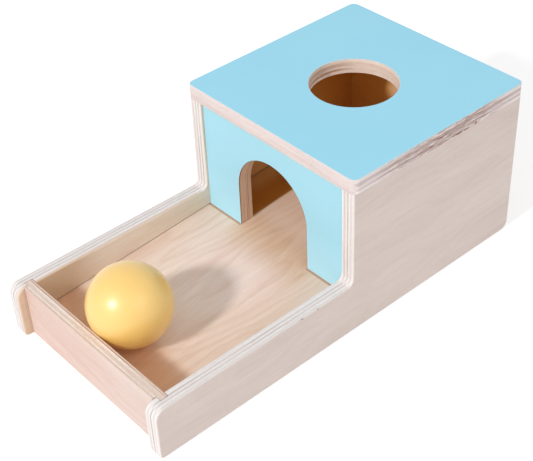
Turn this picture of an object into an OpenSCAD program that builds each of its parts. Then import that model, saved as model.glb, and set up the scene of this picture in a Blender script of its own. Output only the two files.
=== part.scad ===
// Object permanence box: a plywood box with a ball hole in its roof, and a ramp
// that runs out of the box through an arched doorway into an open tray.
// X runs from the open end of the tray to the back of the box, Y to the left, Z up.
// The origin lies on the table, under the middle of the whole toy.

/* [Box] */
// Outside width over the two side panels
body_w = 129; // [116:1:160]
// Length of the box, from its front edge to the back ends of the side panels
box_l = 129; // [112:1:170]
// Height of the whole toy, over the roof
overall_h = 100; // [98:1:130]
// Thickness of the plywood of the sides, roof, arch panel and back panel
ply_t = 9; // [8:0.5:11]
// How far the roof stands out past the box all round
roof_overhang = 0.8; // [0.2:0.1:1.5]
// How far the arch panel and the back panel sit inside the ends of the box
panel_recess = 1.5; // [1:0.25:4]

/* [Tray] */
// Length of the tray, from the front ends of the side panels to the box
tray_l = 131; // [100:1:170]
// Height of the tray walls
tray_h = 32; // [28:1:45]
// Thickness of the stop board across the front
stop_t = 7; // [6:0.5:9]
// How far the stop board sits behind the front ends of the side panels
stop_setback = 5; // [3:0.25:8]

/* [Ramp] */
// Thickness of the ramp board
ramp_t = 5; // [4:0.5:6]
// Height of the rolling surface where it meets the stop board
ramp_low_z = 12; // [11:0.5:15]
// Slope of the ramp in degrees
ramp_tilt = 4; // [3:0.25:5]

/* [Openings] */
// Diameter of the ball hole in the roof
hole_d = 50; // [48:0.5:60]
// Width of the doorway, which is also the width of its round head
doorway_w = 55; // [50:1:66]
// Wood left between the doorway's round head and the roof
doorway_crown = 15.5; // [8:0.5:18]

/* [Joinery] */
// How far a tongue or a ramp edge reaches into a side panel
tongue_l = 3.6; // [2.5:0.1:4.5]
// Part of a cross panel's thickness that goes on as its tongue
tongue_share = 0.66; // [0.5:0.01:0.8]
// Empty depth left past the end of a tongue
end_gap = 0.4; // [0.2:0.05:0.8]
// Clearance on each flat side of a tongue
fit_gap = 0.1; // [0.05:0.01:0.2]

/* [Edges] */
// Radius of the sanded edges
ease_r = 0.8; // [0.4:0.1:1.2]
// Radius of the crisp edges of the roof, ball hole and doorway, and of the cross boards' feet
crisp_r = 0.3; // [0.2:0.1:0.8]
// Radius of the tray's top front corners
tray_corner_r = 6; // [3:0.5:9]
// Radius of the inside corner where the tray wall meets the box
step_corner_r = 4; // [2:0.5:8]
// Radius of the bottom front corners
front_foot_r = 2; // [1.5:0.5:5]
// Radius of the bottom back corners
back_foot_r = 5; // [2:0.5:10]
// Radius of the roof's corners, seen from above
roof_corner_r = 4; // [3:0.5:12]

/* [Ball] */
// Diameter of the ball
ball_d = 46; // [45:0.5:47.5]
// How far the ball lies to the left of the middle
ball_aside = 1; // [-4:0.1:4]
// Air between the ball and what it rests on
ball_gap = 0.3; // [0.2:0.05:0.5]

/* [Hidden] */
$fn = 96;
// What a cut runs past the surface that it opens
overrun = 0.5;
// Overall sizes
side_l = tray_l + box_l;
side_h = overall_h - ply_t;
overall_l = side_l + roof_overhang;
inner_w = body_w - 2 * ply_t;
// Fronts of the cross panels
arch_x = tray_l + panel_recess;
back_x = side_l - panel_recess - ply_t;
ramp_low_x = stop_setback + stop_t;
// Grooves are as deep as a tongue and its end gap
groove_l = tongue_l + end_gap;

// Height of the rolling surface at a distance from the front
function ramp_z(x) = ramp_low_z + (x - ramp_low_x) * tan(ramp_tilt);

// An outline is a list of corners [across, up, radius], square to each other.
// The wood lies on the left of its path, so a hole's path runs the other way round.
function last(list) = len(list) - 1;
function corner(path, i) = path[(i + len(path)) % len(path)];
function spot(c) = [c[0], c[1]];
function heading(path, i) = let (step = corner(path, i + 1) - corner(path, i)) atan2(step[1], step[0]);
function reach(path, i) = norm(spot(corner(path, i + 1)) - spot(corner(path, i)));
function turns_in(path, i) = sin(heading(path, i) - heading(path, i - 1)) < 0;
function reversed(path) = [for (i = [last(path):-1:0]) path[i]];

// Puts the children at a corner's rounding centre, as at a corner that turns left
module at_corner(path, i) {
    c = corner(path, i);
    translate(spot(c))
        rotate(heading(path, i - 1))
            mirror([0, turns_in(path, i) ? 1 : 0, 0])
                translate([-c[2], c[2]])
                    children();
}

// What lies between a square corner and its rounding
module corner_scrap(r) {
    difference() {
        translate([0, -r - overrun])
            square(r + overrun);
        circle(r);
    }
}

// A filled outline with rounded corners
module outline(path) {
    difference() {
        union() {
            polygon([for (c = path) spot(c)]);
            for (i = [0:last(path)])
                if (turns_in(path, i) && path[i][2] > 0)
                    at_corner(path, i)
                        corner_scrap(path[i][2]);
        }
        for (i = [0:last(path)])
            if (!turns_in(path, i) && path[i][2] > 0)
                at_corner(path, i)
                    corner_scrap(path[i][2]);
    }
}

// Section of what sanding to a radius takes off an edge that lies at the origin
module ease_section(r) {
    translate([-r, -r])
        difference() {
            square(r + overrun);
            circle(r);
        }
}

// Sanding cut round a corner of an outline
module ease_corner(path, i, r) {
    away = turns_in(path, i) ? -1 : 1;
    at_corner(path, i)
        rotate(-90)
            rotate_extrude(angle = 90)
                translate([corner(path, i)[2], 0])
                    scale([away, 1])
                        ease_section(r);
}

// Sanding cut along a straight run of an outline, past its ends where they are square
module ease_run(path, i, r) {
    start = corner(path, i)[2];
    end = corner(path, i + 1)[2];
    before = start > 0 ? 0 : overrun;
    after = end > 0 ? 0 : overrun;
    run = reach(path, i) - start - end;
    if (run > 0)
        translate(spot(corner(path, i)))
            rotate(heading(path, i))
                translate([start - before, 0, 0])
                    rotate([90, 0, 90])
                        linear_extrude(run + before + after)
                            mirror([1, 0])
                                ease_section(r);
}

// Sanding cuts on both faces of a plate, along all runs of its outline but those in keep
module ease_faces(path, thick, r, keep = []) {
    for (face = [0, 1])
        translate([0, 0, face * thick])
            mirror([0, 0, 1 - face])
                for (i = [0:last(path)]) {
                    if (len(search(i, keep)) == 0)
                        ease_run(path, i, r);
                    if (corner(path, i)[2] > 0)
                        ease_corner(path, i, r);
                }
}

// A flat plate with sanded edges
module plate(path, thick, r, keep = []) {
    difference() {
        linear_extrude(thick)
            outline(path);
        ease_faces(path, thick, r, keep);
    }
}

// Shifts a model that starts at the tray's front so that its middle is at the origin
module centred() {
    translate([-overall_l / 2, 0, 0])
        children();
}

// Outline of a side panel, from its bottom front corner
side_path = [
    [0, 0, front_foot_r],
    [side_l, 0, back_foot_r],
    [side_l, side_h, 0],
    [tray_l, side_h, 0],
    [tray_l, tray_h, step_corner_r],
    [0, tray_h, tray_corner_r],
];
// The run of that outline that the roof covers
side_top_run = 2;

// Slab between two heights over the ramp's rolling surface, as wide as given
module ramp_slab(x0, x1, low, high, wide) {
    translate([0, wide / 2, 0])
        rotate([90, 0, 0])
            linear_extrude(wide)
                polygon([
                    [x0, ramp_z(x0) + low],
                    [x1, ramp_z(x1) + low],
                    [x1, ramp_z(x1) + high],
                    [x0, ramp_z(x0) + high],
                ]);
}

// Upright thickness of the ramp board
ramp_drop = ramp_t / cos(ramp_tilt);

// Groove across the inner face of both side panels for a cross panel's tongue
module tongue_groove(x, thick, z0, z1) {
    translate([x - fit_gap, -inner_w / 2 - groove_l, z0])
        cube([thick + 2 * fit_gap, inner_w + 2 * groove_l, z1 - z0]);
}

// Thickness of a tongue, and where it starts behind the front of a panel
function tongue_t(thick) = thick * tongue_share;
function tongue_x(thick) = thick - tongue_t(thick);

module side_panel() {
    difference() {
        translate([0, body_w / 2, 0])
            rotate([90, 0, 0])
                plate(side_path, ply_t, ease_r, [side_top_run]);
        tongue_groove(stop_setback + tongue_x(stop_t), tongue_t(stop_t), -overrun, tray_h + overrun);
        tongue_groove(arch_x + tongue_x(ply_t), tongue_t(ply_t), ramp_z(arch_x) - ramp_drop / 2,
                      side_h + overrun);
        tongue_groove(back_x, tongue_t(ply_t), -overrun, side_h + overrun);
        ramp_slab(ramp_low_x - fit_gap, back_x + fit_gap, -ramp_drop - fit_gap, fit_gap,
                  inner_w + 2 * groove_l);
    }
}

module left_side() {
    color("#d9cfc8")
        centred()
            side_panel();
}

module right_side() {
    color("#d9cfc8")
        centred()
            mirror([0, 1, 0])
                side_panel();
}

// Outline of the roof, seen from above
roof_path = [
    [tray_l - roof_overhang, -body_w / 2 - roof_overhang, roof_corner_r],
    [side_l + roof_overhang, -body_w / 2 - roof_overhang, roof_corner_r],
    [side_l + roof_overhang, body_w / 2 + roof_overhang, roof_corner_r],
    [tray_l - roof_overhang, body_w / 2 + roof_overhang, roof_corner_r],
];
// The ball hole lies in the middle of the roof
hole_x = tray_l + box_l / 2;

module roof() {
    color("#9edaec")
        centred()
            translate([0, 0, side_h])
                difference() {
                    plate(roof_path, ply_t, crisp_r);
                    translate([hole_x, 0, 0])
                        ball_hole();
                }
}

module ball_hole() {
    translate([0, 0, -overrun])
        cylinder(h = ply_t + 2 * overrun, d = hole_d);
    for (face = [0, 1])
        translate([0, 0, face * ply_t])
            mirror([0, 0, 1 - face])
                rotate_extrude()
                    translate([hole_d / 2, 0])
                        mirror([1, 0])
                            ease_section(crisp_r);
}

// A panel that stands across the toy between the side panels, with a tongue at each end.
// Its front is at X = 0, and behind says whether its tongues are flush with its back.
module cross_panel(thick, z0, z1, r_low, r_high, behind = true) {
    section = [[0, z0, r_low], [thick, z0, r_low], [thick, z1, r_high], [0, z1, r_high]];
    zone_x = behind ? tongue_x(thick) : 0;
    along_y(inner_w)
        outline(section);
    along_y(inner_w + 2 * tongue_l)
        intersection() {
            outline(section);
            translate([zone_x, z0])
                square([tongue_t(thick), z1 - z0]);
        }
}

// Extrudes a section drawn in X and Z across the toy, about its middle
module along_y(wide) {
    translate([0, wide / 2, 0])
        rotate([90, 0, 0])
            linear_extrude(wide)
                children();
}

module front_stop() {
    color("#f2d6c9")
        centred()
            translate([stop_setback, 0, 0])
                cross_panel(stop_t, 0, tray_h, crisp_r, ease_r);
}

module back_panel() {
    color("#d9cfc8")
        centred()
            translate([back_x, 0, 0])
                cross_panel(ply_t, 0, side_h, crisp_r, 0, behind = false);
}

// Outline of the doorway, which starts below the ramp and has a half-round head
doorway_top = side_h - doorway_crown;
doorway_path = [
    [-doorway_w / 2, 0, 0],
    [doorway_w / 2, 0, 0],
    [doorway_w / 2, doorway_top, doorway_w / 2],
    [-doorway_w / 2, doorway_top, doorway_w / 2],
];
// The run of that outline that lies below the ramp
doorway_sill_run = 2;

module doorway() {
    rotate([90, 0, 90]) {
        translate([0, 0, -overrun])
            linear_extrude(ply_t + 2 * overrun)
                outline(doorway_path);
        ease_faces(reversed(doorway_path), ply_t, crisp_r, [doorway_sill_run]);
    }
}

module arch_panel() {
    color("#b2e5f2")
        centred()
            difference() {
                translate([arch_x, 0, 0])
                    cross_panel(ply_t, 0, side_h, 0, 0);
                translate([arch_x, 0, 0])
                    doorway();
                ramp_slab(arch_x - ply_t, arch_x + 2 * ply_t, -side_h, 0, body_w);
            }
}

module ramp() {
    color("#dcbc9d")
        centred()
            ramp_slab(ramp_low_x, back_x, -ramp_drop, 0, inner_w + 2 * tongue_l);
}

// Height of the ball's middle over the stop board's rounded top edge
function ball_rise(radius) =
    ramp_z(ramp_low_x + radius) + (radius + ball_gap) / cos(ramp_tilt) - (tray_h - ease_r);

// The ball rests on the stop board's top edge, or against its face where that edge is higher
function ball_x(radius) = let (span = radius + ball_gap + ease_r, rise = max(0, ball_rise(radius)))
    ramp_low_x - ease_r + sqrt(span * span - rise * rise);

module ball() {
    radius = ball_d / 2;
    x = ball_x(radius);
    z = ramp_z(x) + (radius + ball_gap) / cos(ramp_tilt);
    color("#f6d27a")
        centred()
            translate([x, ball_aside, z])
                sphere(radius);
}

left_side();
right_side();
roof();
arch_panel();
back_panel();
ramp();
front_stop();
ball();
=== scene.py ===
"""Looks of an object permanence box: a plywood toy with a ball hole, a ramp and a tray.

The boards are birch plywood, routed to tongues and grooves, sanded and glued. The roof
and the front of the box are painted light blue, and the ball is lacquered yellow.
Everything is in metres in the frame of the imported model: X runs from the open end of
the tray to the back of the box, Y to the left and Z up, from the table under the middle.
"""

import logging
import math
from collections.abc import Callable, Sequence
from dataclasses import dataclass, field
from enum import Enum

import bmesh
import bpy
from mathutils import Matrix, Vector, noise


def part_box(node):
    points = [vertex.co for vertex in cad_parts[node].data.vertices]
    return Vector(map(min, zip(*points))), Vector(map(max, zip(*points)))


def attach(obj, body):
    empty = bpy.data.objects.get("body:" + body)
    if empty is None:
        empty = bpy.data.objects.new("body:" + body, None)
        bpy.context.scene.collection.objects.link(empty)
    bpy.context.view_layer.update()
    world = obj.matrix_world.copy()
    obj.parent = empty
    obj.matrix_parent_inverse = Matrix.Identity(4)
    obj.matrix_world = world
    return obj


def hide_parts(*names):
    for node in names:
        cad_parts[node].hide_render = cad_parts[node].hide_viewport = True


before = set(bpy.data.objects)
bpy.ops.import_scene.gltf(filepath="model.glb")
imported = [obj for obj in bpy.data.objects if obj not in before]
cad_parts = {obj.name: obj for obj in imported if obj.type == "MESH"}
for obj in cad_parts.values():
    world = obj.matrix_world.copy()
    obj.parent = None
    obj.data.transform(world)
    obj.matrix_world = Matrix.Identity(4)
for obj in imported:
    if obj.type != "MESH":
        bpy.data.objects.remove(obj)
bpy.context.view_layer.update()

log = logging.getLogger("permanence_box")

MM = 0.001
# Roundings of sanded edges, of crisp ones and of the doorway's
EASE_R = 0.8 * MM
CRISP_R = 0.3 * MM
ARRIS_R = 0.4 * MM
# Tongues: their length, and their share of a board's thickness
TONGUE_L = 3.6 * MM
TONGUE_SHARE = 0.66
# What a groove is deeper and wider than its tongue
GROOVE_END_GAP = 0.1 * MM
GROOVE_SIDE_GAP = 0.15 * MM
# What shows round the ramp in the tray, under the arch panel and inside the box
SEAM = 0.45 * MM
FOOT_SEAM = 0.2 * MM
CHAMBER_SEAM = 0.8 * MM
ROOF_OVERHANG = 0.8 * MM
# How finely round shapes are cut: steps in a sanded edge, and in a quarter of a corner
EASE_STEPS = 5
CORNER_STEPS = 14
ARCH_STEPS = 48
HOLE_STEPS = 160
# What a cutter runs past the surface that it opens
OVERRUN = 1.0 * MM
# Points nearer than this are one, places nearer than that are level, and edges of a
# rim turn by more than the angle
WELD = 0.001 * MM
LEVEL = 0.01 * MM
RIM_ANGLE = math.radians(60)
# Margin for picking edges and faces by their middle, and how squarely the end of a
# board faces the side
MARGIN = 0.1 * MM
SQUARE = 0.99
SHARP_ANGLE = math.radians(38)
# Seed of the ragged outlines of torn voids, so that each run tears them alike
VOID_SEED = 5

Socket = bpy.types.NodeSocket
Wire = Socket | float | tuple[float, ...]
# Settings of a Mix node that mixes colours, and of a MapRange node that eases in and out
COLOURS = {"out": 2, "data_type": "RGBA"}
SMOOTHLY = {"interpolation_type": "SMOOTHSTEP"}


class Side(Enum):
    """Side of the toy, seen from the open end of the tray; the value is the sign of Y."""

    LEFT = 1
    RIGHT = -1


def linear(code: str) -> tuple[float, float, float, float]:
    """Turns a colour as a screen shows it into one that light is worked out with.

    Args:
        code: sRGB colour as six hex digits.

    Returns:
        Red, green, blue and alpha, with the first three linear.
    """
    channels = [int(code[i:i + 2], 16) / 255 for i in (0, 2, 4)]
    parts = [c / 12.92 if c <= 0.04045 else ((c + 0.055) / 1.055) ** 2.4 for c in channels]
    return parts[0], parts[1], parts[2], 1.0


def blend(start: str, end: str, share: float) -> tuple[float, ...]:
    """Mixes two colours.

    Args:
        start: The first, as six hex digits.
        end: The second, as six hex digits.
        share: Share of the second, from 0 to 1.

    Returns:
        The linear mixture.
    """
    return tuple(a + (b - a) * share for a, b in zip(linear(start), linear(end)))


def fresh_tree(owner: bpy.types.Material | bpy.types.World) -> bpy.types.NodeTree:
    """Empties the node tree of a new material or world.

    Args:
        owner: The material or world.

    Returns:
        Its node tree, with no nodes in it.
    """
    owner.use_nodes = True
    owner.node_tree.nodes.clear()
    return owner.node_tree


@dataclass
class Nodes:
    """Nodes of a material or a world in the making."""

    tree: bpy.types.NodeTree

    def add(
        self,
        kind: str,
        wires: dict[int | str, Wire] | None = None,
        out: int | str = 0,
        **settings: str | bool | int,
    ) -> Socket | None:
        """Adds a node with its settings and what goes into it.

        Sockets whose names repeat go by number. Those of Math are its numbers in order. In
        MapRange 0 is the value, 1 and 2 are what it lies between, and 3 and 4 what these
        become. In Mix 0 is the share, 2 and 3 are two numbers, and 6 and 7 two colours.

        Args:
            kind: End of Blender's name of the node type, such as Math or TexNoise.
            wires: For a socket's name or number, the socket that feeds it or its value.
            out: Name or number of the output that the caller goes on with.
            settings: The node's own settings.

        Returns:
            That output, or None where the node has no outputs.
        """
        node = self.tree.nodes.new("ShaderNode" + kind)
        for name, value in settings.items():
            setattr(node, name, value)
        for key, value in (wires or {}).items():
            if isinstance(value, Socket):
                self.tree.links.new(value, node.inputs[key])
            else:
                node.inputs[key].default_value = value
        return node.outputs[out] if node.outputs else None

    def clouds(self, colour: str, shade: str, size: float, detail: float) -> Socket:
        """Mixes two near colours in clouds.

        Args:
            colour: The first, as six hex digits.
            shade: The second, as six hex digits.
            size: Size of a cloud.
            detail: Number of finer layers in it.

        Returns:
            The colour.
        """
        place = self.add("TexCoord", out="Object")
        cloud = self.add("TexNoise", {"Vector": place, "Scale": 1 / size, "Detail": detail})
        return self.add("Mix", {0: cloud, 6: linear(colour), 7: linear(shade)}, **COLOURS)


@dataclass(frozen=True)
class Plies:
    """Layers of a board from its back face up, and how dark each shows on an edge."""

    tops_mm: tuple[float, ...]
    # From 0, pale, to 1, dark, on edges that face along the grain and across it
    along: tuple[float, ...]
    across: tuple[float, ...]


@dataclass(frozen=True)
class Sheet:
    """How a board lies in its sheet of plywood: its faces, its plies and its grain."""

    grain: Vector
    outward: Vector
    back: float
    thick: float
    plies: Plies

    def turn(self) -> tuple[float, float, float]:
        """Works out how the board is turned in the toy.

        Returns:
            The angles that turn its grain, cross grain and outward to X, Y and Z.
        """
        cross = self.outward.cross(self.grain)
        angles = Matrix((self.grain, cross, self.outward)).to_euler()
        return angles.x, angles.y, angles.z


@dataclass(frozen=True)
class Spots:
    """Noise in a board: the size of its spots, its finer layers, and how it shows."""

    # Along the grain, across it and through the board
    size_mm: tuple[float, float, float]
    detail: float = 2.0
    roughness: float = 0.5
    # Noise from 0 to 1 between which it comes in, and what it gives there
    between: tuple[float, float] = (0.0, 1.0)
    gives: tuple[float, float] = (0.0, 1.0)


# Noise lies mostly between these two, and all its contrast with it
SPREAD = (0.3, 0.7)
# Through a board, noise reaches as deep as the board is thick
PLY_DEPTH_MM = 9.0
# Sizes over which streaks wander, and over which the side of a zone waves
WANDER_MM = (38.0, 30.0, 30.0)
WAVE_MM = (40.0, 14.0, PLY_DEPTH_MM)
# Slow changes of the figure's strength, and the field whose contours are growth rings
DRIFT = Spots((130.0, 24.0, PLY_DEPTH_MM), 1.0, between=SPREAD)
RINGS = Spots((150.0, 46.0, 12.0), 2.5, 0.4)
# Short dark pores, drawn twice as coarse as in real birch so that they show
PORES = Spots((5.0, 0.3, 0.3), 1.0, between=(0.6, 0.85), gives=(0.0, 0.3))
# On a cut edge: waves of the glue lines in mm, patches where the plies show, and fibres
PLY_WAVES = Spots((22.0, 22.0, 40.0), gives=(-0.25, 0.25))
PLY_PATCHES = Spots((34.0, 34.0, 1.4), between=(0.35, 0.62), gives=(0.2, 1.0))
EDGE_FIBRES = Spots((2.4, 2.4, 0.3), 3.0, 0.7, (0.4, 0.8), (0.0, 0.5))
STAIN_STREAKS = Spots((7.0, 7.0, 0.5), 3.0, 0.6, (0.42, 0.6), (0.0, 0.8))
# In the paint: its uneven rim, the grain under it and the clouds of the roller
RIM_FRAY = Spots((1.2, 1.2, 1.2), gives=(-0.02, 0.02))
PAINTED_GRAIN = Spots((50.0, 1.5, PLY_DEPTH_MM), 3.0)
ROLLER_CLOUDS = Spots((60.0, 40.0, 40.0))
# Shares of a growth ring between which its wood darkens, and pales again
LATE_WOOD = {1: 0.2, 2: 0.85}
NEXT_RING = {1: 1.0, 2: 0.8}
# How squarely a surface faces out, or along the grain, where a look starts and is full
IS_FACE = {1: 0.55, 2: 0.9}
IS_END_GRAIN = {1: 0.3, 2: 0.85}
IS_ARRIS = {1: 0.1, 2: 0.25}
IS_COATED = {1: 0.955, 2: 0.975}


@dataclass
class BoardNodes(Nodes):
    """Nodes of a plywood material, with places and directions in the board's own sheet."""

    sheet: Sheet
    seed: float
    # Place in millimetres, and its parts along the grain, across it and above the back face
    place: Socket = field(init=False)
    along: Socket = field(init=False)
    across: Socket = field(init=False)
    depth: Socket = field(init=False)
    # How much the surface faces along the grain and out of the front face
    facing_along: Socket = field(init=False)
    facing_out: Socket = field(init=False)

    def __post_init__(self) -> None:
        """Turns places and normals of the toy to those of the sheet."""
        # The seed moves the place, so that no two boards show one figure
        start = (self.seed, 2 * self.seed, -self.sheet.back / MM)
        self.place = self._turned("Object", start, 1 / MM)
        facing = self._turned("Normal", (0.0, 0.0, 0.0), 1.0)
        place_parts = self.add("SeparateXYZ", {0: self.place}).node.outputs
        self.along, self.across, self.depth = place_parts
        self.facing_along, _, self.facing_out = self.add("SeparateXYZ", {0: facing}).node.outputs

    def _turned(self, source: str, start: tuple[float, float, float], unit: float) -> Socket:
        """Turns one of Blender's vectors into the sheet's directions.

        Args:
            source: Object for the place, or Normal for the surface's direction.
            start: What is added after the turn.
            unit: What the vector is multiplied by.

        Returns:
            A vector along the grain, across it and up from the board's back face.
        """
        raw = self.add("TexCoord", out=source)
        return self.add(
            "Mapping",
            {"Vector": raw, "Location": start, "Rotation": self.sheet.turn(),
             "Scale": (unit, unit, unit)},
            vector_type="POINT")

    def spots(self, kind: Spots, place: Socket | None = None) -> Socket:
        """Makes noise whose spots have a real size.

        Args:
            kind: Size and strength of the spots.
            place: Place that it reads, or None for the plain place in the sheet.

        Returns:
            The noise, as strong as it shows.
        """
        scale = tuple(1 / size for size in kind.size_mm)
        spot = self.place if place is None else place
        spot = self.add("VectorMath", {0: spot, 1: scale}, operation="MULTIPLY")
        raw = self.add(
            "TexNoise",
            {"Vector": spot, "Scale": 1.0, "Detail": kind.detail, "Roughness": kind.roughness})
        low, high = kind.between
        least, most = kind.gives
        return self.add("MapRange", {0: raw, 1: low, 2: high, 3: least, 4: most})


@dataclass(frozen=True)
class Veneer:
    """Colours of sanded birch face veneer: its pale ground and its darker streaks."""

    pale: str
    dark: str


@dataclass(frozen=True)
class Figure:
    """Pattern of a face veneer: how strong its streaks and growth rings are."""

    streaks: float = 0.6
    rings: float = 0.12
    ring_count: float = 7.0
    # Length and width of a streak, and how far it wanders off the grain
    streak_mm: tuple[float, float] = (45.0, 1.5)
    bend_mm: float = 3.0
    # Finer layers of the streaks, and how strong these are
    detail: float = 4.0
    roughness: float = 0.62


@dataclass(frozen=True)
class Zone:
    """Veneer that takes over from a place along the grain, within some distance."""

    veneer: Veneer
    start_mm: float
    over_mm: float = 0.2
    # Where it gives way again
    end_mm: float = math.inf
    # Distances from the middle line at which it is absent and at which it is full
    aside_mm: tuple[float, float] | None = None
    wave_mm: float = 12.0


@dataclass(frozen=True)
class Rim:
    """Warmer ply under the front face, which shows along the board's edges; its tan is partly the
    ply's own and partly the front face's painted warm shade.
    """

    colour: str
    # Depths under the face at which it is full and at which it is gone
    depth_mm: tuple[float, float]
    end_mm: float
    fade_mm: float = 6.0


@dataclass(frozen=True)
class Paint:
    """Light blue satin acrylic, rolled thin, so that the grain still shows a little."""

    colour: str
    shade: str
    # Brown of the arris at the paint's edge, where the router burnished the wood
    arris: str | None = None
    # Paler colour near the foot, painted light against the shade by the ramp, and the heights at
    # which it is full and gone
    foot: str | None = None
    foot_mm: tuple[float, float] = (20.0, 52.0)
    # Share of the roller's clouds in its pattern, beside the grain's
    cloud_share: float = 0.7
    roughness: float = 0.58


@dataclass(frozen=True)
class Plywood:
    """Birch plywood, sanded matt: veneer on its faces and crossed plies on its edges."""

    name: str
    sheet: Sheet
    front: Veneer
    back: Veneer
    seed: float
    figure: Figure = Figure()
    # Where the front face's veneer changes along the grain
    zones: tuple[Zone, ...] = ()
    # Colour of the front face's own ply on the edges, how deep it reaches and where it ends
    rim: Rim | None = None
    paint: Paint | None = None
    # Plies cut along their grain are pale, plies cut across it drink more light
    pale_ply: str = "EAE4E2"
    dark_ply: str = "D0C5C2"
    # How dark an edge is where its plies don't show
    plain_edge: float = 0.35
    glue: str = "B79B90"
    line_mm: float = 0.14
    line_share: float = 0.3
    # Middle and half length, along the grain, of edges that took up glue and dirt
    stain_mm: tuple[float, float] | None = None
    stain: str = "9C7568"
    roughness: float = 0.62
    gloss: float = 0.3
    ior: float = 1.5
    bump_mm: float = 0.03

    def material(self) -> bpy.types.Material:
        """Builds the material: veneer on the faces, plies on the edges, paint on top.

        Returns:
            The material.
        """
        material = bpy.data.materials.new(self.name)
        board = BoardNodes(fresh_tree(material), self.sheet, self.seed)
        tone = self._tone(board)
        is_front = board.add("Math", {0: board.facing_out, 1: 0.0}, operation="GREATER_THAN")
        back = self._dyed(board, tone, self.back)
        front = self._front_face(board, tone)
        face = board.add("Mix", {0: is_front, 6: back, 7: front}, **COLOURS)
        flat = board.add("Math", {0: board.facing_out}, operation="ABSOLUTE")
        is_face = board.add("MapRange", {0: flat, **IS_FACE})
        wood = board.add("Mix", {0: is_face, 6: self._edge(board), 7: face}, **COLOURS)
        pores = board.spots(PORES)
        wood = board.add("Mix", {0: pores, 6: wood, 7: linear(self.glue)}, **COLOURS)
        colour, rough = wood, self.roughness
        if self.paint:
            colour, rough = self._painted(board, wood)
        height = board.add("Math", {0: pores, 1: -1.0}, operation="MULTIPLY")
        bump = board.add(
            "Bump", {"Height": height, "Distance": self.bump_mm * MM, "Strength": 1.0})
        shader = board.add(
            "BsdfPrincipled",
            {"Base Color": colour, "Roughness": rough, "Normal": bump, "IOR": self.ior,
             "Specular IOR Level": self.gloss})
        board.add("OutputMaterial", {0: shader})
        return material

    def _tone(self, board: BoardNodes) -> Socket:
        """Draws the figure: streaks along the grain over the contours of growth rings.

        Args:
            board: Nodes of the material.

        Returns:
            How dark the figure is, from 0 up.
        """
        reach = self.figure.bend_mm
        bend = board.spots(Spots(WANDER_MM, detail=1.0, gives=(-reach, reach)))
        bend = board.add("CombineXYZ", {1: bend})
        bent = board.add("VectorMath", {0: board.place, 1: bend}, operation="ADD")
        streak = Spots(
            (*self.figure.streak_mm, PLY_DEPTH_MM), self.figure.detail, self.figure.roughness,
            SPREAD)
        streaks = board.spots(streak, bent)
        count = board.add(
            "Math", {0: board.spots(RINGS), 1: self.figure.ring_count * 2}, operation="MULTIPLY")
        ring = board.add("Math", {0: count}, operation="FRACT")
        late = board.add("MapRange", {0: ring, **LATE_WOOD}, **SMOOTHLY)
        early = board.add("MapRange", {0: ring, **NEXT_RING}, **SMOOTHLY)
        late = board.add("Math", {0: late, 1: early}, operation="MULTIPLY")
        late = board.add("Math", {0: late, 1: self.figure.rings}, operation="MULTIPLY")
        tone = board.add("Math", {0: streaks, 1: board.spots(DRIFT)}, operation="ADD")
        return board.add(
            "Math", {0: tone, 1: self.figure.streaks / 2, 2: late}, operation="MULTIPLY_ADD")

    def _dyed(self, board: BoardNodes, tone: Socket, veneer: Veneer) -> Socket:
        """Gives the figure the colours of a veneer."""
        return board.add(
            "Mix", {0: tone, 6: linear(veneer.pale), 7: linear(veneer.dark)},
            clamp_factor=True, **COLOURS)

    def _aside(self, board: BoardNodes, wave_mm: float) -> Socket:
        """Measures how far to the side of the board's middle line a place is.

        Args:
            board: Nodes of the material.
            wave_mm: How far the measure wanders.

        Returns:
            The distance in millimetres.
        """
        waves = Spots(WAVE_MM, detail=3.0, gives=(-wave_mm, wave_mm))
        side = board.add("Math", {0: board.across, 1: -2 * self.seed}, operation="ADD")
        side = board.add("Math", {0: side}, operation="ABSOLUTE")
        return board.add("Math", {0: side, 1: board.spots(waves)}, operation="ADD")

    def _front_face(self, board: BoardNodes, tone: Socket) -> Socket:
        """Colours the front face: its veneer, and the zones that take over from it.

        Args:
            board: Nodes of the material.
            tone: The figure.

        Returns:
            The colour.
        """
        face = self._dyed(board, tone, self.front)
        for zone in self.zones:
            start = zone.start_mm + self.seed
            taken = board.add(
                "MapRange", {0: board.along, 1: start, 2: start + zone.over_mm}, **SMOOTHLY)
            if math.isfinite(zone.end_mm):
                end = zone.end_mm + self.seed
                before = board.add("MapRange", {0: board.along, 1: end, 2: end - zone.over_mm})
                taken = board.add("Math", {0: taken, 1: before}, operation="MULTIPLY")
            if zone.aside_mm:
                absent, full = zone.aside_mm
                aside = self._aside(board, zone.wave_mm)
                there = board.add("MapRange", {0: aside, 1: absent, 2: full}, **SMOOTHLY)
                taken = board.add("Math", {0: taken, 1: there}, operation="MULTIPLY")
            dyed = self._dyed(board, tone, zone.veneer)
            face = board.add("Mix", {0: taken, 6: face, 7: dyed}, **COLOURS)
        return face

    def _bands(self, board: BoardNodes, share: Socket, tones: Sequence[float]) -> Socket:
        """Colours an edge ply by ply, with a thin line of glue between each two.

        Args:
            board: Nodes of the material.
            share: Height over the back face, as a share of the thickness.
            tones: How dark each ply is on this kind of edge.

        Returns:
            The colour.
        """
        colour = board.add("ValToRGB", {0: share})
        ramp = colour.node.color_ramp
        ramp.interpolation = "CONSTANT"
        ramp.elements.remove(ramp.elements[1])
        ramp.elements[0].color = blend(self.pale_ply, self.dark_ply, tones[0])
        for top, tone in zip(self.sheet.plies.tops_mm, tones[1:]):
            line = ramp.elements.new((top - self.line_mm / 2) * MM / self.sheet.thick)
            line.color = blend(self.pale_ply, self.glue, self.line_share)
            ply = ramp.elements.new((top + self.line_mm / 2) * MM / self.sheet.thick)
            ply.color = blend(self.pale_ply, self.dark_ply, tone)
        return colour

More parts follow.
